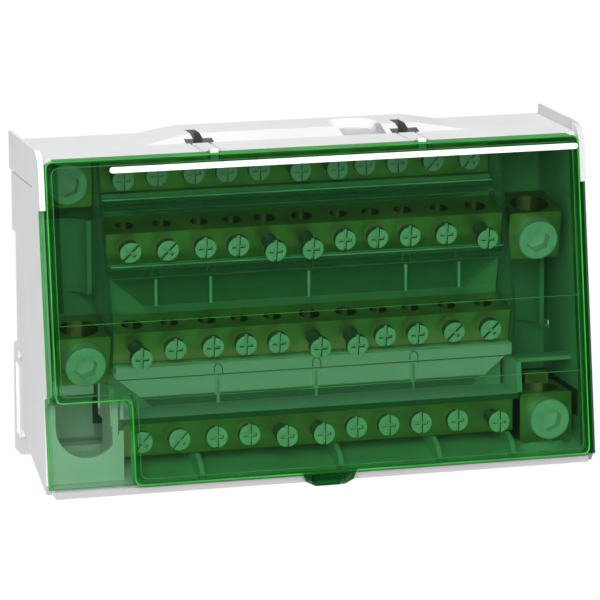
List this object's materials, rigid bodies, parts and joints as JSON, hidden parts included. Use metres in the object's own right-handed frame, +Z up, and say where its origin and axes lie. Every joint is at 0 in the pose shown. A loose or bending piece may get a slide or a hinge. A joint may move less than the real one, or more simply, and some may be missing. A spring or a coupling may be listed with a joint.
{
  "type": "four-pole distribution block",
  "caption": "Rail-mounted distribution block: stepped brass bars with screw terminals and feed lugs under a see-through green hinged cover.",
  "frame": {"origin": "middle of the flat seat that lies against the front of the mounting rail", "axes": "+X to the right along the rail, +Y to the back towards the wall, +Z up; the cover faces -Y"},
  "size_m": [0.18, 0.0598, 0.11],
  "materials": {
    "base_plastic": "fine satin moulding",
    "cover_plastic": "see-through green, glossy",
    "clear_plastic": "clear, glossy",
    "brass": "drawn bar, slightly dull",
    "steel": "zinc plated",
    "clip_plastic": "satin"
  },
  "bodies": {
    "base": {"base_housing": "base_plastic", "busbar_1": "brass", "feed_lug_1": "brass", "feed_screw_1": "steel", "small_way_screws_1": "steel", "large_way_screws_1": "steel", "busbar_2": "brass", "feed_lug_2": "brass", "feed_screw_2": "steel", "small_way_screws_2": "steel", "large_way_screws_2": "steel", "busbar_3": "brass", "feed_lug_3": "brass", "feed_screw_3": "steel", "small_way_screws_3": "steel", "large_way_screws_3": "steel", "busbar_4": "brass", "feed_lug_4": "brass", "feed_screw_4": "steel", "small_way_screws_4": "steel", "large_way_screws_4": "steel", "barrier_1": "clear_plastic", "barrier_2": "clear_plastic", "barrier_3": "clear_plastic", "end_plate_left": "clear_plastic", "end_plate_right": "clear_plastic"},
    "cover": {"front_cover": "cover_plastic"},
    "clip_left": {"rail_clip_left": "clip_plastic"},
    "clip_right": {"rail_clip_right": "clip_plastic"}
  },
  "joints": [
    {"name": "cover_hinge", "type": "hinge", "parent": "base", "child": "cover", "pos_m": [0, -0.0328, 0.0462], "axis": [-1, 0, 0], "range_deg": [0, 100]},
    {"name": "clip_left_slide", "type": "slide", "parent": "base", "child": "clip_left", "axis": [0, 0, -1], "range_m": [0, 0.004], "stiffness_N_per_m": 600, "springref_m": -0.002},
    {"name": "clip_right_slide", "type": "slide", "parent": "base", "child": "clip_right", "axis": [0, 0, -1], "range_m": [0, 0.004], "stiffness_N_per_m": 600, "springref_m": -0.002}
  ]
}
